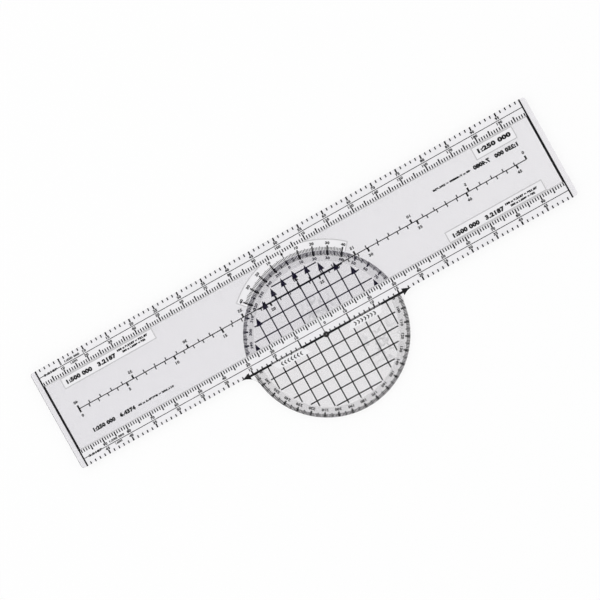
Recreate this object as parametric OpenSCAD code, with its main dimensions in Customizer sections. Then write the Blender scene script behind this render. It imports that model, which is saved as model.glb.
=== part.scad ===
// Rotating navigation plotter: a clear rule for measuring distances on a chart, with a round lobe on one
// long side, and a clear azimuth disc that turns under the lobe on a hollow eyelet.
// X runs along the rule, Y from the course line to the far edge, and Z up from the chart.
// The origin is the centre of the pencil hole, on the chart.

/* [Rule] */
// Length of one outer division, a statute mile at 1 to 500 000
mile_pitch = 3.2187; // [2.9:0.0001:3.6]
// Number of outer divisions between the end lines
edge_miles = 100; // [90:10:120]
// Width of the bare strip beyond each end line
end_strip_w = 3.2; // [2:0.1:8]
// Space between the disc's rim and the upper band, which sets the rule's width
disc_band_gap = 4.7; // [4:0.1:10]
// Thickness of the rule
rule_t = 1.5; // [0.8:0.1:3]
// Radius of the rule's corners
corner_r = 2; // [0.5:0.1:5]
// How far the lobe's rim stays inside the disc's rim
lobe_inset = 0.4; // [0.1:0.1:2]
// Radius of the hollow between the lobe and the course line
lobe_fillet_r = 9; // [5:0.5:14]

/* [Disc] */
// Radius of the azimuth disc
disc_r = 48.5; // [40:0.5:60]
// Thickness of the azimuth disc
disc_t = 1.2; // [1:0.1:2.5]
// Gap between the disc and the rule, filled at the pivot by the washer
disc_gap = 0.4; // [0.3:0.05:1.5]
// Width of the tinted ring that carries the degrees
degree_ring_w = 6.2; // [5:0.1:8]
// Distance between the grid's lines
grid_pitch = 7.82; // [5:0.02:10]
// Width of a grid line
grid_line_w = 0.75; // [0.2:0.05:1]
// Space between the grid's ends and the tinted ring
grid_margin = 0.4; // [0.1:0.1:2]
// Length of a meridian's arrowhead
meridian_head_l = 5; // [2:0.1:6]
// Width of a meridian's arrowhead
meridian_head_w = 3.7; // [1.5:0.1:4.5]
// How far the disc stands turned clockwise of the rule, in degrees
disc_turned = 0.2; // [-180:0.1:180]

/* [Pivot] */
// Radius of the pencil hole
pencil_hole_r = 0.3; // [0.25:0.05:0.9]
// Wall of the eyelet's barrel
barrel_wall = 0.8; // [0.3:0.05:0.9]
// How far the eyelet's head and foot stand out past the barrel
eyelet_rim_w = 0.6; // [0.4:0.05:1.2]
// Height of the eyelet's head above the rule
eyelet_head_t = 0.35; // [0.2:0.05:0.8]
// Thickness of the eyelet's rolled foot
eyelet_foot_t = 0.4; // [0.2:0.05:0.5]
// Radial clearance of the disc on the barrel
barrel_clearance = 0.05; // [0.02:0.01:0.1]
// Up and down play of the disc
disc_play = 0.03; // [0.01:0.01:0.1]
// Clearance round the eyelet's foot in its recess
foot_clearance = 0.2; // [0.1:0.05:0.5]
// Width of the washer past the barrel
washer_w = 0.6; // [0.4:0.1:3]

/* [Print] */
// Thickness of a layer of ink
ink_t = 0.03; // [0.02:0.01:0.06]
// Air between a layer of ink and what it lies on
ink_gap = 0.01; // [0.005:0.005:0.02]
// Space between print and an edge of the plastic or the eyelet
print_margin = 0.1; // [0.05:0.05:0.5]
// Depth of the white band along each long edge
band_d = 10.3; // [9.8:0.1:12]
// Length of an outer tick
outer_tick_l = 1.7; // [1:0.1:2]
// Length of every fifth outer tick
outer_major_l = 2.4; // [1.5:0.1:2.6]
// Width of an outer tick
outer_tick_w = 0.7; // [0.2:0.05:0.8]
// Width of every fifth outer tick
outer_major_w = 0.9; // [0.3:0.05:1]
// Length of an inner tick
inner_tick_l = 2; // [1:0.1:2.4]
// Length of every fifth inner tick
inner_major_l = 3.1; // [1.5:0.1:3.2]
// Width of an inner tick
inner_tick_w = 0.65; // [0.2:0.05:0.8]
// Width of every fifth inner tick
inner_major_w = 0.8; // [0.3:0.05:1]
// Width of the grey line where the grey panel meets a white area
border_w = 0.6; // [0.1:0.05:0.7]
// Width of the line along the middle of a band
divider_w = 0.4; // [0.2:0.05:0.6]
// Distance of that line from the rule's edge
divider_y = 4.9; // [4.5:0.1:6]
// Width of an end line across the panel
end_line_w = 1.4; // [0.5:0.1:2]
// Width of an end line across a band
end_line_thin_w = 0.95; // [0.3:0.1:1.5]

/* [Centre scale] */
// Length of a nautical mile at 1 to 250 000
nautical_pitch = 7.408; // [7:0.001:7.6]
// Length of a statute mile at 1 to 250 000
statute_pitch = 6.4374; // [6:0.0001:6.6]
// Least space between the scale and an end line
centre_end_gap = 5; // [2:0.5:15]
// Length of a tick
centre_tick_l = 1.9; // [1:0.1:3]
// Length of every fifth tick
centre_major_l = 2.3; // [1.5:0.1:4]
// Width of a tick
centre_tick_w = 0.65; // [0.2:0.05:0.8]
// Width of every fifth tick
centre_major_w = 1.1; // [0.4:0.05:1.2]
// Width of the line
centre_line_w = 0.55; // [0.2:0.05:0.8]

/* [Variation scale] */
// Degrees on each side of the index
variation_range = 40; // [20:5:40]
// Space between the disc's rim and the white arc
variation_gap = 0.1; // [0.1:0.1:1]
// Width of the white arc
variation_w = 5.9; // [5:0.1:6.5]
// How far its ticks reach in past the disc's rim
variation_overlap = 3; // [0.5:0.1:3.2]
// Degrees that are ticked on each side past the white arc, over the disc alone
variation_extra = 4; // [0:1:4]
// Length of the part of a tick that lies inside the disc's degrees
variation_inner_l = 0.9; // [0.5:0.1:1.5]
// Length of a one degree tick on the arc
variation_tick_l = 1.7; // [0.8:0.1:1.8]
// Length of a five degree tick on the arc
variation_five_l = 2.1; // [1:0.1:2.2]
// Length of a ten degree tick on the arc
variation_ten_l = 2.6; // [1.5:0.1:3]
// Width of a tick on the arc
variation_tick_w = 0.38; // [0.15:0.01:0.5]
// Width of every tenth tick on the arc
variation_ten_w = 0.85; // [0.3:0.05:1]
// Width of the index marks
index_w = 0.45; // [0.2:0.05:0.8]

/* [Degree scale] */
// Length of a one degree tick
degree_tick_l = 2; // [1:0.1:2.2]
// Length of a five degree tick
degree_five_l = 2.5; // [1.5:0.1:2.7]
// Length of a ten degree tick
degree_ten_l = 3; // [2:0.1:3.4]
// Width of a one degree tick
degree_tick_w = 0.48; // [0.15:0.01:0.55]
// Width of a ten degree tick
degree_ten_w = 0.95; // [0.3:0.05:1]

/* [Course arrow] */
// How far each arrow tip stands out past the disc's rim
arrow_overhang = 7.5; // [6:0.1:10]
// Length of an arrowhead
arrow_head_l = 5.5; // [3:0.1:6]
// Width of an arrowhead
arrow_head_w = 4.1; // [2:0.1:5]
// Width of the arrow's thick line
arrow_line_w = 1.3; // [0.5:0.05:1.4]
// Width of the arrow's thin line
arrow_thin_w = 0.4; // [0.2:0.05:0.45]
// Where the thin line starts, from the pencil hole
arrow_thin_start = 15.6; // [10:0.1:20]
// Length of the thin line
arrow_thin_l = 20.6; // [10:0.1:25]
// Depth of the white panel under the thin line
course_panel_d = 4; // [2:0.1:6]
// How far the panel's ends lean towards the pencil hole
course_panel_lean = 3; // [0:0.1:5]

/* [Legend panels] */
// Distance of a legend panel from the end line
legend_end_gap = 11.7; // [5:0.1:20]
// Distance of a legend panel from the band
legend_band_gap = 1.25; // [0.5:0.05:3]
// Height of a long legend panel
legend_h = 5.8; // [4:0.1:7]
// Length of a long legend panel
legend_long_l = 61.2; // [40:0.2:65]
// Length of the short legend panel
legend_short_l = 25.2; // [15:0.2:40]
// Height of the short legend panel
legend_short_h = 6.6; // [4:0.1:7]

/* [Hidden] */
$fn = 96;

// How far a cut runs past the faces that it opens
past = 1;

// The plates, from the chart up
scale_half = edge_miles * mile_pitch / 2;
rule_half = scale_half + end_strip_w;
rule_w = disc_r + disc_band_gap + band_d;
rule_z = disc_t + disc_gap;
rule_top = rule_z + rule_t;
lobe_r = disc_r - lobe_inset;
lobe_fillet_x = sqrt(pow(lobe_r + lobe_fillet_r, 2) - pow(lobe_fillet_r, 2));
lobe_touch = lobe_r / (lobe_r + lobe_fillet_r);

// The two layers of ink on each plate: a white or tinted one, and a dark one over it
ink_step = ink_t + ink_gap;
rule_backing_z = rule_top + ink_gap;
rule_ink_z = rule_backing_z + ink_step;
disc_backing_z = disc_t + ink_gap;
disc_ink_z = disc_backing_z + ink_step;

// The eyelet and what it carries
barrel_r = pencil_hole_r + barrel_wall;
eyelet_r = barrel_r + eyelet_rim_w;
washer_r = barrel_r + washer_w;
washer_z = disc_t + 2 * ink_step + disc_play;
foot_recess_r = eyelet_r + foot_clearance;
foot_recess_t = eyelet_foot_t + disc_play;
hub_print_r = eyelet_r + print_margin;

// The panel between the bands
panel_low = band_d;
panel_high = rule_w - band_d;

// How the scales count
inner_per_outer = 2;
major_every = 5;
numbered_every = 10;
full_turn = 360;

// The course arrow
arrow_reach = disc_r + arrow_overhang;

// The centre scale
centre_y = rule_w / 2;
nautical_miles = major_every * floor(2 * (scale_half - centre_end_gap) / (major_every * nautical_pitch));
centre_half = nautical_miles * nautical_pitch / 2;
statute_miles = floor((2 * centre_half - centre_major_w) / statute_pitch);

// The variation arc and the degree ring
variation_r = disc_r + variation_gap;
variation_out_r = variation_r + variation_w;
variation_tick_r = disc_r - variation_overlap;
variation_end_margin = 1.8;
variation_end = variation_range + variation_end_margin;
degree_out_r = disc_r - print_margin;
degree_in_r = degree_out_r - degree_ring_w;
degree_tick_r = degree_out_r - print_margin;
degree_five_w = (degree_tick_w + degree_ten_w) / 2;
index_top = panel_high + inner_tick_l;

// The grid
grid_r = degree_in_r - grid_margin;
grid_lines = floor(sqrt(pow(grid_r, 2) - pow(meridian_head_l, 2)) / grid_pitch);
grid_hub_r = barrel_r + barrel_clearance + print_margin;

// The legend panels
legend_end = scale_half - legend_end_gap;
legend_top = panel_high - legend_band_gap;
legend_bottom = panel_low + legend_band_gap;

clear = [0.86, 0.87, 0.88, 0.35];
ink_black = [0.1, 0.1, 0.11];
ink_grey = [0.45, 0.45, 0.47];
ink_white = [0.97, 0.97, 0.97];
ink_tint = [0.8, 0.8, 0.81];
ink_border = [0.7, 0.7, 0.71];
eyelet_black = [0.13, 0.13, 0.14];

// A layer of ink, drawn at height z
module ink(z) {
    translate([0, 0, z]) linear_extrude(ink_t) children();
}

// Turns what is drawn for the lower edge of the rule over to its upper edge
module at_top() {
    translate([0, rule_w]) mirror([0, 1]) children();
}

// A bar centred on x, from y up
module bar(x, y, w, l) {
    translate([x - w / 2, y]) square([w, l]);
}

// A rectangle between two corners
module box_between(x1, y1, x2, y2) {
    translate([x1, y1]) square([x2 - x1, y2 - y1]);
}

// A tick from radius r out, at an angle clockwise from north
module radial_tick(angle, r, w, l) {
    rotate(-angle) bar(0, r, w, l);
}

function tick_size(i, major, minor) = i % major_every == 0 ? major : minor;

function numbered(angle) = angle % numbered_every == 0;

// The strip with round corners, drawn in on every side by an inset
module rounded_strip(inset) {
    box_between(-rule_half + corner_r, inset, rule_half - corner_r, rule_w - inset);
    box_between(-rule_half + inset, corner_r, rule_half - inset, rule_w - corner_r);
    for (x = [-1, 1], y = [corner_r, rule_w - corner_r])
        translate([x * (rule_half - corner_r), y]) circle(corner_r - inset);
}

// The strip with its round lobe, blended into the straight edge by a hollow on each side
module rule_outline() {
    difference() {
        union() {
            rounded_strip(0);
            circle(lobe_r);
            box_between(-lobe_fillet_x, -lobe_fillet_r * lobe_touch, lobe_fillet_x, corner_r);
        }
        for (side = [-1, 1])
            translate([side * lobe_fillet_x, -lobe_fillet_r]) circle(lobe_fillet_r);
    }
}

module rule_plate() {
    color(clear) translate([0, 0, rule_z]) linear_extrude(rule_t) difference() {
        rule_outline();
        circle(barrel_r);
    }
}

// The white arc between the disc's rim and the upper band, grown outwards by a margin
module variation_outline(margin) {
    reach = variation_out_r * 2;
    end = variation_end + margin / variation_out_r * 180 / PI;
    intersection() {
        difference() {
            circle(variation_out_r + margin);
            circle(variation_r);
        }
        polygon([[0, 0], reach * [-sin(end), cos(end)], reach * [sin(end), cos(end)]]);
        box_between(-reach, 0, reach, panel_high);
    }
}

// The three legend panels, grown on every side by a margin
module legend_outlines(margin) {
    for (corners = [
        [[-legend_end, legend_top - legend_h], [legend_long_l - legend_end, legend_top]],
        [[legend_end - legend_short_l, legend_top - legend_short_h], [legend_end, legend_top]],
        [[legend_end - legend_long_l, legend_bottom], [legend_end, legend_bottom + legend_h]]
    ])
        box_between(corners[0][0] - margin, corners[0][1] - margin,
            corners[1][0] + margin, corners[1][1] + margin);
}

// The bands with all that lies beyond them
module band_regions() {
    box_between(-scale_half, -past, scale_half, panel_low);
    box_between(-scale_half, panel_high, scale_half, rule_w + past);
}

module panel_tint() {
    color(ink_tint) ink(rule_backing_z) difference() {
        rounded_strip(print_margin);
        band_regions();
        variation_outline(0);
        legend_outlines(0);
    }
}

module band_outline() {
    box_between(-scale_half, print_margin, scale_half, band_d);
}

module top_band() {
    color(ink_white) ink(rule_backing_z) at_top() band_outline();
}

module bottom_band() {
    color(ink_white) ink(rule_backing_z) difference() {
        band_outline();
        circle(hub_print_r);
    }
}

module variation_arc() {
    color(ink_white) ink(rule_backing_z) variation_outline(0);
}

module legend_panels() {
    color(ink_white) ink(rule_backing_z) legend_outlines(0);
}

module panel_borders() {
    line_half = scale_half - end_line_w;
    color(ink_border) ink(rule_ink_z) difference() {
        union() {
            legend_outlines(border_w);
            variation_outline(border_w);
            box_between(-line_half, panel_low, line_half, panel_low + border_w);
            box_between(-line_half, panel_high - border_w, line_half, panel_high);
        }
        legend_outlines(0);
        variation_outline(0);
    }
}

module course_panel() {
    thin_end = arrow_thin_start + arrow_thin_l;
    low = -arrow_line_w / 2 - course_panel_d;
    high = -arrow_line_w / 2;
    polygon([[arrow_thin_start, high], [thin_end, high],
        [thin_end - course_panel_lean, low], [arrow_thin_start - course_panel_lean, low]]);
}

module course_panels() {
    color(ink_white) ink(rule_backing_z) {
        course_panel();
        mirror([1, 0]) course_panel();
    }
}

// Half of the course arrow, from the eyelet to its tip
module arrow_half() {
    thin_end = arrow_thin_start + arrow_thin_l;
    head_base = arrow_reach - arrow_head_l;
    box_between(0, -arrow_line_w / 2, arrow_thin_start, arrow_line_w / 2);
    box_between(arrow_thin_start, arrow_line_w / 2 - arrow_thin_w, thin_end, arrow_line_w / 2);
    box_between(thin_end, -arrow_line_w / 2, head_base, arrow_line_w / 2);
    polygon([[head_base, -arrow_head_w / 2], [arrow_reach, 0], [head_base, arrow_head_w / 2]]);
}

module arrow_outline() {
    arrow_half();
    mirror([1, 0]) arrow_half();
}

module course_arrow() {
    color(ink_black) ink(rule_ink_z) intersection() {
        difference() {
            arrow_outline();
            circle(hub_print_r);
        }
        rule_outline();
    }
}

module outer_ticks() {
    for (i = [1:edge_miles - 1])
        if (2 * i != edge_miles)
            bar(i * mile_pitch - scale_half, print_margin,
                tick_size(i, outer_major_w, outer_tick_w), tick_size(i, outer_major_l, outer_tick_l));
}

module middle_outer_tick() {
    bar(0, print_margin, outer_major_w, outer_major_l);
}

module inner_ticks() {
    for (i = [1:edge_miles * inner_per_outer - 1])
        if (2 * i != edge_miles * inner_per_outer) {
            l = tick_size(i, inner_major_l, inner_tick_l);
            w = tick_size(i, inner_major_w, inner_tick_w);
            bar(i * mile_pitch / inner_per_outer - scale_half, band_d - l, w, l);
        }
}

module top_outer_scale() {
    color(ink_black) ink(rule_ink_z) at_top() {
        outer_ticks();
        middle_outer_tick();
    }
}

module top_inner_scale() {
    color(ink_grey) ink(rule_ink_z) at_top() inner_ticks();
}

// The fifth tick on each side of the pencil hole reaches the line along the middle of the band
module bottom_outer_scale() {
    color(ink_black) ink(rule_ink_z) difference() {
        union() {
            outer_ticks();
            for (side = [-1, 1])
                bar(side * major_every * mile_pitch, print_margin, outer_tick_w,
                    divider_y - divider_w / 2 - print_margin);
        }
        arrow_outline();
    }
}

module bottom_inner_scale() {
    color(ink_grey) ink(rule_ink_z) inner_ticks();
}

// The upper line is whole, and the lower one stops at the index mark
module band_lines() {
    line_half = scale_half - end_line_thin_w;
    color(ink_grey) ink(rule_ink_z) {
        at_top() box_between(-line_half, divider_y - divider_w / 2, line_half, divider_y + divider_w / 2);
        for (side = [-1, 1])
            box_between(min(side * line_half, side * index_w / 2), divider_y - divider_w / 2,
                max(side * line_half, side * index_w / 2), divider_y + divider_w / 2);
    }
}

// The outer edges of the end lines are the ends of the scale
module end_lines() {
    color(ink_black) ink(rule_ink_z) for (side = [-1, 1]) {
        bar(side * (scale_half - end_line_thin_w / 2), print_margin, end_line_thin_w,
            rule_w - 2 * print_margin);
        bar(side * (scale_half - end_line_w / 2), panel_low, end_line_w, panel_high - panel_low);
    }
}

// The nautical scale stands on the line and counts from the right, and the statute scale hangs from it and
// counts from the left
module centre_scale() {
    color(ink_black) ink(rule_ink_z) {
        box_between(-centre_half, centre_y - centre_line_w / 2, centre_half, centre_y + centre_line_w / 2);
        for (i = [0:nautical_miles])
            bar(centre_half - i * nautical_pitch, centre_y, tick_size(i, centre_major_w, centre_tick_w),
                tick_size(i, centre_major_l, centre_tick_l));
        for (i = [0:statute_miles]) {
            l = tick_size(i, centre_major_l, centre_tick_l);
            w = tick_size(i, centre_major_w, centre_tick_w);
            bar(i * statute_pitch - centre_half, centre_y - l, w, l);
        }
    }
}

// Every tenth tick crosses the disc's degrees and ends on the white arc. The others have one part inside the
// degrees and one on the arc, and past the arc's ends the inner part alone.
module variation_scale() {
    color(ink_black) ink(rule_ink_z) for (a = [1:variation_range + variation_extra], side = [-1, 1]) {
        on_arc = a <= variation_range;
        if (on_arc && numbered(a))
            radial_tick(side * a, variation_tick_r, variation_ten_w,
                variation_r + variation_ten_l - variation_tick_r);
        else
            radial_tick(side * a, variation_tick_r, variation_tick_w, variation_inner_l);
        if (on_arc && !numbered(a))
            radial_tick(side * a, variation_r, variation_tick_w,
                tick_size(a, variation_five_l, variation_tick_l));
    }
}

// The marks at north on the rule: one across the lower band, one from the disc's degrees to the upper band
module index_marks() {
    color(ink_black) ink(rule_ink_z) {
        bar(0, hub_print_r, index_w, band_d - hub_print_r);
        bar(0, variation_tick_r, index_w, index_top - variation_tick_r);
    }
}

module azimuth_disc() {
    color(clear) difference() {
        cylinder(h = disc_t, r = disc_r);
        translate([0, 0, -past]) cylinder(h = disc_t + 2 * past, r = barrel_r + barrel_clearance);
        translate([0, 0, -past]) cylinder(h = foot_recess_t + past, r = foot_recess_r);
    }
}

module degree_ring() {
    color(ink_tint) ink(disc_backing_z) difference() {
        circle(degree_out_r);
        circle(degree_in_r);
    }
}

module degree_ticks() {
    color(ink_black) ink(disc_ink_z) for (a = [0:full_turn - 1]) {
        l = numbered(a) ? degree_ten_l : tick_size(a, degree_five_l, degree_tick_l);
        w = numbered(a) ? degree_ten_w : tick_size(a, degree_five_w, degree_tick_w);
        radial_tick(a + disc_turned, degree_tick_r - l, w, l);
    }
}

// Half of the length that a grid line has inside the grid's circle, at a distance from its centre
function chord(distance) = sqrt(pow(grid_r, 2) - pow(distance, 2));

module meridian_head_outlines() {
    rotate(-disc_turned) for (i = [-grid_lines:grid_lines])
        translate([i * grid_pitch, chord(i * grid_pitch)])
            polygon([[-meridian_head_w / 2, -meridian_head_l],
                [meridian_head_w / 2, -meridian_head_l], [0, 0]]);
}

module course_grid() {
    color(ink_black) ink(disc_ink_z) difference() {
        rotate(-disc_turned) for (i = [-grid_lines:grid_lines]) {
            reach = chord(i * grid_pitch);
            bar(i * grid_pitch, -reach, grid_line_w, 2 * reach - meridian_head_l / 2);
            translate([-reach, i * grid_pitch - grid_line_w / 2]) square([2 * reach, grid_line_w]);
        }
        meridian_head_outlines();
        circle(grid_hub_r);
    }
}

module meridian_heads() {
    color(ink_black) ink(disc_ink_z) meridian_head_outlines();
}

// A ring whose outer rim is rounded on both sides, drawn in section
module rim_section(z, t) {
    translate([pencil_hole_r, z]) square([eyelet_r - pencil_hole_r - t / 2, t]);
    translate([eyelet_r - t / 2, z + t / 2]) circle(t / 2);
}

module pivot_eyelet() {
    color(eyelet_black) rotate_extrude() {
        translate([pencil_hole_r, 0]) square([barrel_wall, rule_top + eyelet_head_t]);
        rim_section(0, eyelet_foot_t);
        rim_section(rule_top, eyelet_head_t);
    }
}

module spacer_washer() {
    t = rule_z - washer_z;
    color(eyelet_black) translate([0, 0, washer_z]) difference() {
        cylinder(h = t, r = washer_r);
        translate([0, 0, -past]) cylinder(h = t + 2 * past, r = barrel_r);
    }
}

rule_plate();
panel_tint();
top_band();
bottom_band();
variation_arc();
legend_panels();
panel_borders();
course_panels();
top_outer_scale();
top_inner_scale();
bottom_outer_scale();
bottom_inner_scale();
band_lines();
end_lines();
centre_scale();
variation_scale();
index_marks();
course_arrow();
azimuth_disc();
degree_ring();
degree_ticks();
course_grid();
meridian_heads();
pivot_eyelet();
spacer_washer();
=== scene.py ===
import math

import bmesh
import bpy
from mathutils import Matrix, Vector


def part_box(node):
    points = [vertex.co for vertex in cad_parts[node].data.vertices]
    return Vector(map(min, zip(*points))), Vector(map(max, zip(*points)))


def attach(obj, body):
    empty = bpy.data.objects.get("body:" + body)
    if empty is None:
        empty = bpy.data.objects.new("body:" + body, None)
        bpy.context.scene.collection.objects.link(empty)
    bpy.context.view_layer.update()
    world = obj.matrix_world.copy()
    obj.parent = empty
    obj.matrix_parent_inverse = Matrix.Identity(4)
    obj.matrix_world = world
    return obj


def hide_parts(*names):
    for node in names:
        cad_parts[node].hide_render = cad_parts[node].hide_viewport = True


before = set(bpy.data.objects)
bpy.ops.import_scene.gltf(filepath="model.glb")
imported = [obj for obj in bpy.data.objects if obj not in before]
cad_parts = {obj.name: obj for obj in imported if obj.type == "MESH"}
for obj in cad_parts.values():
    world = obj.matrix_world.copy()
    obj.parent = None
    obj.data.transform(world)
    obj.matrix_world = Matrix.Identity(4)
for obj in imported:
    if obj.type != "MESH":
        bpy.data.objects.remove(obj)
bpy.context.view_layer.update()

# Azimuth disc: a round sheet of clear acrylic that turns under the rule, stamped out and polished along its
# edge, with a recess below for the eyelet's foot. Years on charts have left hairline scratches in its gloss
# and a few grey scuffs at the lower right.
MM = 0.001
SHEET_IOR = 1.49
DISC_TINT = (1, 0.996, 1, 1)
DISC_TURNED = math.radians(0.2)
DISC_SCUFFS = (27 * MM, -20 * MM, 1.2 * MM)
DISC_SCUFF_REACH = 16 * MM
SCUFF_GREY = (0.7, 0.7, 0.71, 1)
SCUFF_LOOP = 8 * MM
SCUFF_FADE = 1.5
SCUFF_THINNESS = 18
SCRATCH_W, CROSS_SCRATCH_W = 0.9 * MM, 0.7 * MM
POLISH_ROUGHNESS = 0.005
SCRATCH_ROUGHNESS = 0.05
HAZE_SIZE = 14 * MM
HAZE_SHADE = 0.98
WAVE_H = 0.02 * MM
WAVE_STRENGTH = 0.1
SHEET_BEVEL = 0.14 * MM
BEVEL_STEPS = 3
HUB_CLEARANCE = 0.05 * MM
ROUND_STEPS = 360
WASHER_W = 0.6 * MM
RECESS_R = 1.9 * MM
RECESS_T = 0.43 * MM
SOFT_TURN = math.radians(5)
SEAM_GAP = 0.002 * MM


class Value:
    """A socket of a node. Sums, differences and products of these add Math nodes."""

    def __init__(self, finish, socket):
        self.finish = finish
        self.socket = socket

    def math(self, operation, first, second):
        """One Math node on two sockets or numbers."""
        return self.finish.node("ShaderNodeMath", {"operation": operation}, {0: first, 1: second})

    def __add__(self, other):
        return self.math("ADD", self, other)

    __radd__ = __add__

    def __sub__(self, other):
        return self.math("SUBTRACT", self, other)

    def __rsub__(self, other):
        return self.math("SUBTRACT", other, self)

    def __mul__(self, other):
        return self.math("MULTIPLY", self, other)

    __rmul__ = __mul__


class Finish:
    """The look of a material or of the sky, built node by node."""

    def __init__(self, owner):
        self.owner = owner
        owner.use_nodes = True
        self.tree = owner.node_tree
        self.tree.nodes.clear()

    def node(self, kind, settings=(), values=(), out=0):
        """One node: first its settings, then its sockets' values or links. Gives one of its outputs."""
        made = self.tree.nodes.new(kind)
        for name, setting in dict(settings).items():
            if name == "stops":
                for stop, (place, colour) in zip(made.color_ramp.elements, setting):
                    stop.position = place
                    stop.color = colour
            else:
                setattr(made, name, setting)
        for name, value in dict(values).items():
            if isinstance(value, Value):
                self.tree.links.new(value.socket, made.inputs[name])
            else:
                made.inputs[name].default_value = value
        return Value(self, made.outputs[out]) if len(made.outputs) else None

    def grain(self, size, stretch=(1, 1, 1), detail=3):
        """Noise from 0 to 1, with blotches about this size in metres, pulled out along the axes."""
        place = self.node("ShaderNodeTexCoord", out="Object")
        pulled = self.node("ShaderNodeMapping", {}, {"Vector": place, "Scale": stretch})
        return self.node("ShaderNodeTexNoise", {}, {"Vector": pulled, "Scale": 1 / size, "Detail": detail})

    def blend(self, share, first, second):
        """From the first colour to the second as share goes from 0 to 1."""
        return self.node("ShaderNodeMix", {"data_type": "RGBA"}, {0: share, 6: first, 7: second}, out=2)

    def show(self, shader):
        """Puts the shader on the surface, and gives the finished material."""
        self.node("ShaderNodeOutputMaterial", {}, {"Surface": shader})
        return self.owner


def clear_sheet(name, tint, scuff_place, scuff_reach):
    """Polished clear plastic with fine scratches in its gloss, and winding grey scuffs round one place."""
    finish = Finish(bpy.data.materials.new(name))
    along = finish.grain(SCRATCH_W, (0.06, 1, 1))
    across = finish.grain(CROSS_SCRATCH_W, (1, 0.08, 1))
    scratches = along * across
    haze = finish.grain(HAZE_SIZE)
    waves = finish.node("ShaderNodeBump", {},
                        {"Height": haze, "Distance": WAVE_H, "Strength": WAVE_STRENGTH})
    place = finish.node("ShaderNodeTexCoord", out="Object")
    away = finish.node("ShaderNodeVectorMath", {"operation": "DISTANCE"}, {0: place, 1: scuff_place},
                       out="Value")
    near = finish.node("ShaderNodeMath", {"operation": "SUBTRACT", "use_clamp": True},
                       {0: SCUFF_FADE, 1: away * (SCUFF_FADE / scuff_reach)})
    winding = finish.grain(SCUFF_LOOP, detail=2)
    off_line = finish.node("ShaderNodeMath", {"operation": "ABSOLUTE"}, {0: winding - 0.5})
    scuffs = finish.node("ShaderNodeMath", {"operation": "SUBTRACT", "use_clamp": True},
                         {0: 1.0, 1: off_line * SCUFF_THINNESS})
    clean = finish.blend(haze * 0.5 + near * 0.5, tint, [shade * HAZE_SHADE for shade in tint[:3]] + [1])
    return finish.show(finish.node("ShaderNodeBsdfPrincipled", {}, {
        "Base Color": finish.blend(scuffs * near, clean, SCUFF_GREY),
        "Roughness": scratches * SCRATCH_ROUGHNESS + POLISH_ROUGHNESS,
        "IOR": SHEET_IOR,
        "Transmission Weight": 1,
        "Normal": waves,
    }))


def finished_mesh(name, mesh, soft):
    """Closes a mesh's seams, smooths its round edges and puts it in the scene."""
    shape = bmesh.new()
    shape.from_mesh(mesh)
    bmesh.ops.remove_doubles(shape, verts=shape.verts, dist=SEAM_GAP)
    bmesh.ops.recalc_face_normals(shape, faces=shape.faces)
    shape.to_mesh(mesh)
    shape.free()
    mesh.shade_smooth()
    mesh.set_sharp_from_angle(angle=soft)
    piece = bpy.data.objects.new(name, mesh)
    bpy.context.scene.collection.objects.link(piece)
    return piece


def turned(name, outline, steps=ROUND_STEPS, soft=SOFT_TURN):
    """A round piece from the outline of its section, radius and height, smooth below the soft angle."""
    mesh = bpy.data.meshes.new(name)
    shape = bmesh.new()
    rings = []
    for step in range(steps):
        turn = math.tau * step / steps
        rings.append([shape.verts.new((radius * math.cos(turn), radius * math.sin(turn), height))
                      for radius, height in outline])
    for first, second in zip(rings, rings[1:] + rings[:1]):
        for low in range(len(outline)):
            high = (low + 1) % len(outline)
            shape.faces.new((first[low], second[low], second[high], first[high]))
    shape.to_mesh(mesh)
    shape.free()
    return finished_mesh(name, mesh, soft)


def rim(outer, low, high, bevel):
    """The section of a rounded rim, from its upper face to its lower one."""
    turns = [math.pi / 2 * step / BEVEL_STEPS for step in range(BEVEL_STEPS + 1)]
    middle = outer - bevel
    upper = [(middle + bevel * math.sin(turn), high - bevel + bevel * math.cos(turn)) for turn in turns]
    lower = [(middle + bevel * math.cos(turn), low + bevel - bevel * math.sin(turn)) for turn in turns]
    return upper + lower


def dress(piece, material, body, slot, *nodes):
    """Gives a piece its finish and its body, and hides the CAD nodes that it stands for. Its slot is not
    used.
    """
    piece.data.materials.clear()
    piece.data.materials.append(material)
    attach(piece, body)
    if nodes:
        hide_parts(*nodes)


disc_low, disc_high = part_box("azimuth_disc")
disc_r = disc_high.x
barrel_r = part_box("spacer_washer")[1].x - WASHER_W
hub_r = barrel_r + HUB_CLEARANCE
disc_acrylic = clear_sheet("disc acrylic", DISC_TINT, DISC_SCUFFS, DISC_SCUFF_REACH)
disc = turned("disc_sheet", rim(disc_r, disc_low.z, disc_high.z, SHEET_BEVEL) + [
    (RECESS_R, disc_low.z), (RECESS_R, RECESS_T), (hub_r, RECESS_T), (hub_r, disc_high.z)])
dress(disc, disc_acrylic, "disc", "clear_plastic", "azimuth_disc")

# Printing on the disc: a grey tint under the degrees, then black ticks, the square grid with an arrowhead
# on each meridian, and the degrees, screen printed on the upper face and rubbed a little pale in places.
RING_TINT = (0.1, 0.098, 0.104, 1)
RING_FADED = (0.2, 0.196, 0.206, 1)
RING_COVER = 0.085
INK_BLACK = (0.004, 0.004, 0.005, 1)
INK_FADED = (0.02, 0.02, 0.022, 1)
INK_GLOSS = 0.2
PATCH_SIZE, PATCH_SHARE = 9 * MM, 0.7
SPECK_SIZE, SPECK_SHARE = 0.5 * MM, 0.3
RUB_START, RUB_FULL = 0.45, 0.75
ROUGHNESS_SPREAD = 0.2
COVER_SPREAD = 0.02


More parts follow.
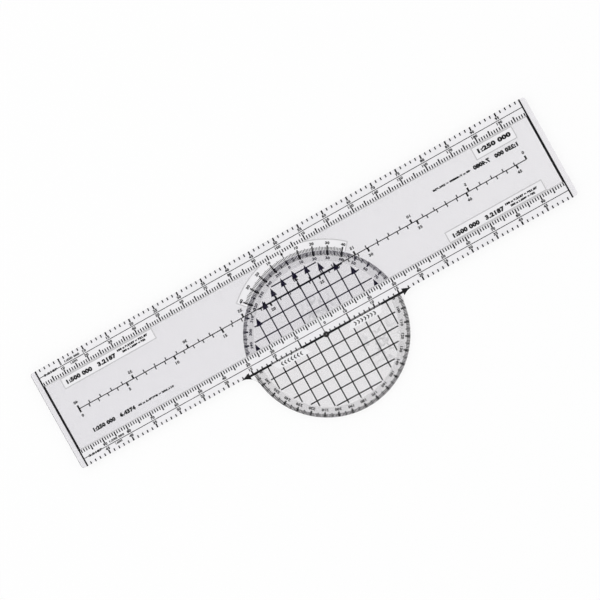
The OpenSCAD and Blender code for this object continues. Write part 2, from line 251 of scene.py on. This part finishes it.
def printed(name, colour, worn, cover=1.0, rough=0.5, thinning=0.0):
    """Screen ink, a little uneven in tone and gloss, and rubbed towards the worn colour here and there.
    Where it is see-through, its cover can thin out along X by this much a metre."""
    finish = Finish(bpy.data.materials.new(name))
    patches = finish.grain(PATCH_SIZE)
    specks = finish.grain(SPECK_SIZE)
    stops = [(RUB_START, (0, 0, 0, 1)), (RUB_FULL, (1, 1, 1, 1))]
    rubbed = finish.node("ShaderNodeValToRGB", {"stops": stops},
                         {"Fac": patches * PATCH_SHARE + specks * SPECK_SHARE})
    sockets = {
        "Base Color": finish.blend(rubbed, colour, worn),
        "Roughness": specks * ROUGHNESS_SPREAD + (rough - ROUGHNESS_SPREAD / 2),
        "Specular IOR Level": INK_GLOSS,
    }
    if cover < 1:
        place = finish.node("ShaderNodeTexCoord", out="Object")
        along = finish.node("ShaderNodeSeparateXYZ", {}, {"Vector": place}, out="X")
        sockets["Alpha"] = specks * COVER_SPREAD + (cover - COVER_SPREAD / 2) - along * thinning
    return finish.show(finish.node("ShaderNodeBsdfPrincipled", {}, sockets))


def ink_node(node, material):
    """Gives a printed CAD node its ink."""
    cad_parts[node].data.materials.clear()
    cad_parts[node].data.materials.append(material)


black_ink = printed("black ink", INK_BLACK, INK_FADED)
ring_ink = printed("grey ring tint", RING_TINT, RING_FADED, cover=RING_COVER, rough=0.6)
ink_node("degree_ring", ring_ink)
for node in ("degree_ticks", "course_grid", "meridian_heads"):
    ink_node(node, black_ink)

BOLD = 0.055
LETTER_SPACE = 1.1
LETTER_STEPS = 3
TYPE_STRETCH = 1.15


def letters(text, height, ink_t, bold):
    """A mesh of printed characters, centred, with digits of this height."""
    face = bpy.data.curves.new("characters", "FONT")
    face.body = text
    face.size = 1
    face.extrude = 0.5
    face.offset = bold
    face.space_character = LETTER_SPACE
    face.resolution_u = LETTER_STEPS
    drawn = bpy.data.objects.new("characters", face)
    bpy.context.scene.collection.objects.link(drawn)
    bpy.context.view_layer.update()
    mesh = bpy.data.meshes.new_from_object(drawn)
    bpy.data.objects.remove(drawn)
    spans = [[vertex.co[axis] for vertex in mesh.vertices] for axis in (0, 1)]
    middle = [(min(span) + max(span)) / 2 for span in spans]
    size = height / (max(spans[1]) - min(spans[1]))
    mesh.transform(Matrix.Diagonal((size, size, ink_t, 1)) @ Matrix.Translation((-middle[0], -middle[1], 0)))
    return mesh


def print_labels(name, labels, ink_z, material, body, slot, bold=BOLD):
    """One piece of print. A label is a text, its middle, its height, its turn, 1 or -1 for mirrored, and its
    width where the type is extended."""
    ink_low, ink_high = ink_z
    shape = bmesh.new()
    for text, x, y, height, turn, mirrored, *width in labels:
        mesh = letters(text, height, ink_high - ink_low, bold)
        reach = 2 * max(vertex.co.x for vertex in mesh.vertices)
        stretch = width[0] / reach if width else TYPE_STRETCH
        mesh.transform(
            Matrix.Translation((x, y, (ink_low + ink_high) / 2))
            @ Matrix.Rotation(turn, 4, "Z")
            @ Matrix.Diagonal((mirrored * stretch, 1, 1, 1))
        )
        if mirrored < 0:
            mesh.flip_normals()
        shape.from_mesh(mesh)
        bpy.data.meshes.remove(mesh)
    mesh = bpy.data.meshes.new(name)
    shape.to_mesh(mesh)
    shape.free()
    piece = bpy.data.objects.new(name, mesh)
    bpy.context.scene.collection.objects.link(piece)
    dress(piece, material, body, slot)


DIGIT_H = 1.7 * MM
DEGREE_LABEL_R = 43.9 * MM
DEGREE_LABEL_EVERY = 10
disc_ink_z = [corner.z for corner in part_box("degree_ticks")]
degree_labels = []
for degree in range(0, 360, DEGREE_LABEL_EVERY):
    turn = math.radians(degree) + DISC_TURNED
    x, y = DEGREE_LABEL_R * math.sin(turn), DEGREE_LABEL_R * math.cos(turn)
    degree_labels.append((str(degree), x, y, DIGIT_H, -turn, 1))
print_labels("degree_numbers", degree_labels, disc_ink_z, black_ink, "disc", "black_ink")

# Spacer washer: a thin ring of dark grey nylon on the eyelet's barrel, no wider than its head. It keeps the
# two printed faces apart, so that the disc turns without rubbing them.
NYLON_GREY, NYLON_PALE = (0.03, 0.03, 0.032, 1), (0.045, 0.045, 0.048, 1)
NYLON_GRAIN = 0.6 * MM
WASHER_BEVEL = 0.06 * MM
WASHER_STEPS = 96
washer_low, washer_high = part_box("spacer_washer")
washer_finish = Finish(bpy.data.materials.new("grey nylon"))
nylon = washer_finish.grain(NYLON_GRAIN)
washer_material = washer_finish.show(washer_finish.node("ShaderNodeBsdfPrincipled", {}, {
    "Base Color": washer_finish.blend(nylon, NYLON_GREY, NYLON_PALE),
    "Roughness": nylon * 0.2 + 0.4,
}))
washer = turned("washer_ring", rim(washer_high.x, washer_low.z, washer_high.z, WASHER_BEVEL) + [
    (barrel_r, washer_low.z), (barrel_r, washer_high.z)], WASHER_STEPS)
dress(washer, washer_material, "rule", "washer_plastic", "spacer_washer")

# Rule: a long strip of the same acrylic, a little thicker, cut with a round lobe that covers the disc and
# blends into the strip by a hollow on each side. Its edges are polished so that a pencil runs along them.
RULE_TINT = (0.999, 0.988, 1, 1)
RULE_SCUFFS = (3 * MM, 14 * MM, 3 * MM)
RULE_SCUFF_REACH = 13 * MM
RULE_CORNER_R = 2 * MM
LOBE_INSET = 0.4 * MM
LOBE_R = disc_r - LOBE_INSET
HOLLOW_R = 9 * MM
ARC_STEP = math.radians(1)


def arc(middle, radius, start, end):
    """Points along an arc, from one turn to another, in degrees from the X axis."""
    start, end = math.radians(start), math.radians(end)
    steps = max(2, math.ceil(abs(end - start) / ARC_STEP))
    turns = [start + (end - start) * step / steps for step in range(steps + 1)]
    return [(middle[0] + radius * math.cos(turn), middle[1] + radius * math.sin(turn)) for turn in turns]


def cut_sheet(name, outlines, low, high, bevel):
    """A sheet with these outlines, holes among them, between two heights, its edges rounded by a bevel."""
    curve = bpy.data.curves.new(name, "CURVE")
    curve.dimensions = "2D"
    curve.fill_mode = "BOTH"
    curve.extrude = (high - low) / 2 - bevel
    curve.bevel_depth = bevel
    curve.bevel_resolution = BEVEL_STEPS
    curve.offset = -bevel
    for points in outlines:
        spline = curve.splines.new("POLY")
        spline.points.add(len(points) - 1)
        for point, (x, y) in zip(spline.points, points):
            point.co = (x, y, 0, 1)
        spline.use_cyclic_u = True
    drawn = bpy.data.objects.new(name + "_outline", curve)
    bpy.context.scene.collection.objects.link(drawn)
    bpy.context.view_layer.update()
    mesh = bpy.data.meshes.new_from_object(drawn)
    mesh.name = name
    bpy.data.objects.remove(drawn)
    mesh.transform(Matrix.Translation((0, 0, (low + high) / 2)))
    return finished_mesh(name, mesh, SOFT_TURN)


rule_low, rule_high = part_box("rule_plate")
rule_half, rule_w = rule_high.x, rule_high.y
hollow_x = math.sqrt((LOBE_R + HOLLOW_R) ** 2 - HOLLOW_R ** 2)
hollow_turn = math.degrees(math.atan2(HOLLOW_R, hollow_x))
corner_x = rule_half - RULE_CORNER_R
corner_y = rule_w - RULE_CORNER_R
rule_outline = (
    arc((corner_x, RULE_CORNER_R), RULE_CORNER_R, -90, 0)
    + arc((corner_x, corner_y), RULE_CORNER_R, 0, 90)
    + arc((-corner_x, corner_y), RULE_CORNER_R, 90, 180)
    + arc((-corner_x, RULE_CORNER_R), RULE_CORNER_R, 180, 270)
    + arc((-hollow_x, -HOLLOW_R), HOLLOW_R, 90, hollow_turn)
    + arc((0, 0), LOBE_R, 180 + hollow_turn, 360 - hollow_turn)[1:-1]
    + arc((hollow_x, -HOLLOW_R), HOLLOW_R, 180 - hollow_turn, 90)
)
rule = cut_sheet("rule_sheet", [rule_outline, arc((0, 0), barrel_r, 0, 360)[:-1]], rule_low.z, rule_high.z,
                 SHEET_BEVEL)
rule_acrylic = clear_sheet("rule acrylic", RULE_TINT, RULE_SCUFFS, RULE_SCUFF_REACH)
dress(rule, rule_acrylic, "rule", "clear_plastic", "rule_plate")

# Eyelet: a small blackened brass rivet with a pencil hole through it, rolled over on the rule and in the
# disc's recess. Its blacking has worn a little brighter in spots.
BRASS_BLACKED, BRASS_WORN = (0.008, 0.008, 0.009, 1), (0.025, 0.024, 0.023, 1)
WEAR_SIZE = 0.35 * MM
eyelet_low, eyelet_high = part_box("pivot_eyelet")
eyelet_finish = Finish(bpy.data.materials.new("blackened brass"))
wear = eyelet_finish.grain(WEAR_SIZE)
eyelet_material = eyelet_finish.show(eyelet_finish.node("ShaderNodeBsdfPrincipled", {}, {
    "Base Color": eyelet_finish.blend(wear, BRASS_BLACKED, BRASS_WORN),
    "Metallic": 0.3,
    "Roughness": wear * 0.25 + 0.3,
}))
PENCIL_HOLE_R = 0.3 * MM
FOOT_HOLE_R = 0.2 * MM
EYELET_R = eyelet_high.x
HEAD_T = 0.35 * MM
FOOT_T = 0.4 * MM
ROLL_STEPS = 8
ROLL_FULLNESS = 0.6
EYELET_STEPS = 72
EYELET_SOFT_TURN = math.radians(50)


def rolled(outer, inner, face, back):
    """The round of a rolled rim, from its outer edge on the back to its lip at the hole."""
    steps = [step / ROLL_STEPS for step in range(ROLL_STEPS + 1)]
    middle, half = (outer + inner) / 2, (outer - inner) / 2
    return [(middle + half * math.cos(math.pi * step),
             back + (face - back) * math.sin(math.pi * step) ** ROLL_FULLNESS) for step in steps]


head_back = eyelet_high.z - HEAD_T
foot_back = eyelet_low.z + FOOT_T
profile = rolled(EYELET_R, PENCIL_HOLE_R, eyelet_high.z, head_back)
profile += list(reversed(rolled(EYELET_R, FOOT_HOLE_R, eyelet_low.z, foot_back)))
profile += [(barrel_r, foot_back), (barrel_r, head_back)]
eyelet = turned("eyelet_rivet", profile, EYELET_STEPS, EYELET_SOFT_TURN)
dress(eyelet, eyelet_material, "rule", "eyelet_metal", "pivot_eyelet")

# Printing on the rule, first pass: a thin see-through lilac grey on the panel between the bands, its cover a
# little denser towards the left, and opaque white on the bands, the variation arc and the boxes. Thin grey
# lines run along the edges of the white areas.
PANEL_TINT = (0.05, 0.029, 0.19, 1)
PANEL_FADED = (0.07, 0.048, 0.21, 1)
PANEL_COVER = 0.045
PANEL_THINNING = 0.06
WHITE = (0.865, 0.855, 0.876, 1)
WHITE_FADED = (0.82, 0.82, 0.835, 1)
BORDER_GREY = (0.55, 0.544, 0.556, 1)
BORDER_FADED = (0.59, 0.584, 0.596, 1)
WHITE_ROUGHNESS = 0.55
panel_ink = printed("panel tint", PANEL_TINT, PANEL_FADED, cover=PANEL_COVER, thinning=PANEL_THINNING)
white_ink = printed("white ink", WHITE, WHITE_FADED, rough=WHITE_ROUGHNESS)
border_ink = printed("border grey", BORDER_GREY, BORDER_FADED, rough=WHITE_ROUGHNESS)
ink_node("panel_tint", panel_ink)
ink_node("panel_borders", border_ink)
for node in ("top_band", "bottom_band", "variation_arc", "legend_panels", "course_panels"):
    ink_node(node, white_ink)

# Printing on the rule, second pass: the divisions of the scales, the lines along the bands and across the
# ends, the index marks and the course arrow, all in black. Fine divisions look grey from a distance.
for node in ("top_outer_scale", "top_inner_scale", "bottom_outer_scale", "bottom_inner_scale", "band_lines",
             "end_lines", "centre_scale", "variation_scale", "index_marks", "course_arrow"):
    ink_node(node, black_ink)

# Numbers of the edge scales: outer divisions every five, inner divisions every ten. The upper band counts
# from the left, and the lower one both ways from the pencil hole, with its zero a little to the right.
EDGE_MILES = 100
LABEL_EVERY = 5
OUTER_LABEL_INSET = 3.45 * MM
INNER_LABEL_INSET = 6.35 * MM
BAND_MIDDLE = 50
LOWEST_OUTER_LABEL = 10
ZERO_LABEL_X = 2.6 * MM
scale_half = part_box("top_band")[1].x
mile = 2 * scale_half / EDGE_MILES
rule_ink_z = [corner.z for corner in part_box("course_arrow")]
labels = []
for miles in range(LABEL_EVERY, EDGE_MILES, LABEL_EVERY):
    x = miles * mile - scale_half
    labels.append((str(miles), x, rule_w - OUTER_LABEL_INSET, DIGIT_H, 0, 1))
    labels.append((str(2 * miles), x, rule_w - INNER_LABEL_INSET, DIGIT_H, 0, 1))
print_labels("top_numbers", labels, rule_ink_z, black_ink, "rule", "black_ink")
labels = []
for miles in range(LABEL_EVERY, EDGE_MILES, LABEL_EVERY):
    x = miles * mile - scale_half
    count = abs(miles - BAND_MIDDLE)
    if count >= LOWEST_OUTER_LABEL:
        labels.append((str(count), x, OUTER_LABEL_INSET, DIGIT_H, 0, 1))
    labels.append((str(2 * count), x if count else ZERO_LABEL_X, INNER_LABEL_INSET, DIGIT_H, 0, 1))
print_labels("bottom_numbers", labels, rule_ink_z, black_ink, "rule", "black_ink")

# Numbers of the centre scale: nautical miles above the line, seen from the back and counted from the right,
# and statute miles below it, counted from the left.
NAUTICAL_MILE = 7.408 * MM
STATUTE_MILE = 6.4374 * MM
NAUTICAL_MILES = 40
STATUTE_MILES = 46
CENTRE_LABEL_H = 1.8 * MM
CENTRE_LABEL_RISE = 4.3 * MM
centre_half = NAUTICAL_MILES * NAUTICAL_MILE / 2
upper_y, lower_y = rule_w / 2 + CENTRE_LABEL_RISE, rule_w / 2 - CENTRE_LABEL_RISE
labels = [(str(miles), centre_half - miles * NAUTICAL_MILE, upper_y, CENTRE_LABEL_H, 0, -1)
          for miles in range(0, NAUTICAL_MILES + 1, LABEL_EVERY)]
labels += [(str(miles), miles * STATUTE_MILE - centre_half, lower_y, CENTRE_LABEL_H, 0, 1)
           for miles in range(0, STATUTE_MILES, LABEL_EVERY)]
print_labels("centre_numbers", labels, rule_ink_z, black_ink, "rule", "black_ink")

# Numbers of the variation scale, printed along the white arc over the disc. They count both ways from the
# index at its middle, every ten degrees.
VARIATION_LABEL_R = 52.6 * MM
VARIATION_REACH = 40
labels = []
for degree in range(-VARIATION_REACH, VARIATION_REACH + 1, DEGREE_LABEL_EVERY):
    turn = math.radians(degree)
    labels.append((str(abs(degree)), VARIATION_LABEL_R * math.sin(turn), VARIATION_LABEL_R * math.cos(turn),
                   DIGIT_H, -turn, 1))
print_labels("variation_numbers", labels, rule_ink_z, black_ink, "rule", "black_ink")

# Legends: the chart scale of each set of divisions, in plain numbers, with how many there are and how many
# millimetres each takes. Those without a white box are set heavier, and one reads from the back.
LEGEND_H = 2.8 * MM
LOW_LEGEND_H = 2.7 * MM
SMALL_H = 1.4 * MM
LEGEND_BOLD = 0.07
LOW_LEGEND_BOLD = 0.08
SMALL_BOLD = 0.1


def along_rule(text, x, y, height, width, mirrored=1):
    """A label that lies along the rule. Its middle and its width are in millimetres."""
    return text, x * MM, y * MM, height, 0, mirrored, width * MM


print_labels("legend_numbers", [
    along_rule("1:500 000   3.2187", -130.2, 48.9, LEGEND_H, 33.5),
    along_rule("1:500 000   3.2187", 107.5, 13.9, LEGEND_H, 33),
    along_rule("1:250 000", 136.8, 49, LEGEND_H, 21),
], rule_ink_z, black_ink, "rule", "black_ink", LEGEND_BOLD)
print_labels("low_legend_numbers", [
    along_rule("1:250 000   6.4374", -132.7, 16.8, LOW_LEGEND_H, 28.5),
    along_rule("1:250 000   7.4080", 133.8, 41.9, LOW_LEGEND_H, 28.5, -1),
], rule_ink_z, black_ink, "rule", "black_ink", LOW_LEGEND_BOLD)
print_labels("small_numbers", [
    along_rule("100 x 3.2187 = 321.87", -101.5, 50.4, SMALL_H, 20.5),
    along_rule("200 x 1.6093 = 322", -101.5, 48.5, SMALL_H, 15.5),
    along_rule("100 x 3.2187 = 321.87", 135.5, 15.1, SMALL_H, 20.5),
    along_rule("200 x 1.6093 = 322", 135.5, 13.1, SMALL_H, 15.5),
    along_rule("46 x 6.43738 = 296.119", -104.5, 16.7, SMALL_H, 24.3),
    along_rule("40 x 7.40800 = 296.320", 105.4, 41.8, SMALL_H, 24.4, -1),
], rule_ink_z, black_ink, "rule", "black_ink", SMALL_BOLD)

# Small numbers at the left end of both edge scales: the millimetres of one outer division on the band's
# line, and the chart scale and the millimetres of one inner division over and under it.
labels = []
for line_y in (58.6, 4.9):
    labels += [along_rule("3.2187", -152.4, line_y, SMALL_H, 9),
               along_rule("1:500 000", -137.1, line_y + 1.5, SMALL_H, 10),
               along_rule("1.6093", -137.1, line_y - 1.2, SMALL_H, 4.5)]
print_labels("edge_numbers", labels, rule_ink_z, black_ink, "rule", "black_ink")

# Chevrons in the white boxes under the course arrow: a plain row of seven in each box, printed in black,
# that point out along the arrow to its heads.
CHEVRONS = 7
CHEVRON_PITCH = 2.1 * MM
CHEVRON_H = 2.3 * MM
CHEVRON_W = 0.8 * MM
CHEVRON_LINE = 0.75 * MM
CHEVRON_MIDDLE = 24.5 * MM
chevron_y = (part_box("course_panels")[0].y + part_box("course_panels")[1].y) / 2
shape = bmesh.new()
for side in (-1, 1):
    for step in range(CHEVRONS):
        back_x = CHEVRON_MIDDLE + (step - CHEVRONS / 2) * CHEVRON_PITCH
        outline = [(back_x, -CHEVRON_H / 2), (back_x + CHEVRON_LINE, -CHEVRON_H / 2),
                   (back_x + CHEVRON_LINE + CHEVRON_W, 0), (back_x + CHEVRON_LINE, CHEVRON_H / 2),
                   (back_x, CHEVRON_H / 2), (back_x + CHEVRON_W, 0)]
        low, high = [[shape.verts.new((side * x, y + chevron_y, z)) for x, y in outline] for z in rule_ink_z]
        for first in range(len(outline)):
            second = (first + 1) % len(outline)
            shape.faces.new((low[first], low[second], high[second], high[first]))
        for level in (low, high):
            shape.faces.new((level[0], level[1], level[2], level[5]))
            shape.faces.new((level[2], level[3], level[4], level[5]))
bmesh.ops.recalc_face_normals(shape, faces=shape.faces)
chevron_mesh = bpy.data.meshes.new("course_chevrons")
shape.to_mesh(chevron_mesh)
shape.free()
chevrons = bpy.data.objects.new("course_chevrons", chevron_mesh)
bpy.context.scene.collection.objects.link(chevrons)
dress(chevrons, black_ink, "rule", "black_ink")

# Table: a wide white board. What the camera, clear plastic and gloss see of it is mostly plain white, and
# the rest is lit, so that the plotter's soft shadow stays on it.
BOARD_WHITE = (0.95, 0.95, 0.95, 1)
PLAIN_SHARE = 0.85
TABLE_SIZE = 4
TABLE_DROP = 0.1 * MM
table_finish = Finish(bpy.data.materials.new("white table"))
seen = table_finish.node("ShaderNodeLightPath", out="Is Camera Ray")
glossed = table_finish.node("ShaderNodeLightPath", out="Is Glossy Ray")
through = table_finish.node("ShaderNodeLightPath", out="Is Transmission Ray")
watched = table_finish.node("ShaderNodeMath", {"operation": "MAXIMUM"}, {0: seen + glossed, 1: through})
board = table_finish.node("ShaderNodeBsdfDiffuse", {}, {"Color": BOARD_WHITE})
plain = table_finish.node("ShaderNodeEmission", {}, {"Color": (1, 1, 1, 1), "Strength": 1.0})
table_material = table_finish.show(
    table_finish.node("ShaderNodeMixShader", {}, {0: watched * PLAIN_SHARE, 1: board, 2: plain}))
table_mesh = bpy.data.meshes.new("table")
half = TABLE_SIZE / 2
table_mesh.from_pydata([(-half, -half, -TABLE_DROP), (half, -half, -TABLE_DROP), (half, half, -TABLE_DROP),
                        (-half, half, -TABLE_DROP)], [], [(0, 1, 2, 3)])
table = bpy.data.objects.new("table", table_mesh)
table.data.materials.append(table_material)
bpy.context.scene.collection.objects.link(table)

# Light: a white sky, as in a light tent, with a dark ceiling round the camera that keeps black print black,
# and a large soft lamp high on the left.
SKY_STRENGTH = 1.25
SKY_WHITE = (1, 1, 1, 1)
CEILING_DARK = (0.04, 0.04, 0.04, 1)
CEILING_START, CEILING_FULL = 0.75, 0.95
LAMP_SIZE = 0.8
LAMP_POWER = 2.0
LAMP_PLACE = (-0.6, 0.5, 1.2)
tent = Finish(bpy.data.worlds.new("light tent"))
way = tent.node("ShaderNodeTexCoord", out="Generated")
rise = tent.node("ShaderNodeSeparateXYZ", {}, {"Vector": way}, out="Z")
ceiling_stops = [(CEILING_START, SKY_WHITE), (CEILING_FULL, CEILING_DARK)]
ceiling = tent.node("ShaderNodeValToRGB", {"stops": ceiling_stops}, {"Fac": rise})
glow = tent.node("ShaderNodeBackground", {}, {"Color": ceiling, "Strength": SKY_STRENGTH})
tent.node("ShaderNodeOutputWorld", {}, {"Surface": glow})
bpy.context.scene.world = tent.owner
lamp_data = bpy.data.lights.new("soft lamp", "AREA")
lamp_data.shape = "DISK"
lamp_data.size = LAMP_SIZE
lamp_data.energy = LAMP_POWER
lamp = bpy.data.objects.new("soft lamp", lamp_data)
lamp.location = LAMP_PLACE
lamp.rotation_euler = (-lamp.location).to_track_quat("-Z", "Y").to_euler()
bpy.context.scene.collection.objects.link(lamp)

# Camera: a long lens nearly straight above, about 1.1 m over the table, turned so that the rule runs up to
# the right as in the picture.
CAMERA_PLACE = Vector((130.5, 30.4, 1087.1)) * MM
CAMERA_TARGET = Vector((-3.55, 24.54, 2.8)) * MM
CAMERA_ROLL = math.radians(29.164)
CAMERA_LENS = 114
NEAREST_SEEN, FARTHEST_SEEN = 0.01, 20
camera_data = bpy.data.cameras.new("camera")
camera_data.lens = CAMERA_LENS
camera_data.clip_start = NEAREST_SEEN
camera_data.clip_end = FARTHEST_SEEN
camera = bpy.data.objects.new("camera", camera_data)
back = (CAMERA_PLACE - CAMERA_TARGET).normalized()
across = Vector((0, 1, 0))
across = (across - back * across.dot(back)).normalized()
up = across * math.cos(CAMERA_ROLL) + across.cross(back) * math.sin(CAMERA_ROLL)
right = up.cross(back)
camera.matrix_world = Matrix.Translation(CAMERA_PLACE) @ Matrix((right, up, back)).transposed().to_4x4()
bpy.context.scene.collection.objects.link(camera)
bpy.context.scene.camera = camera
bpy.context.scene.view_settings.view_transform = "Standard"

bpy.context.view_layer.update()
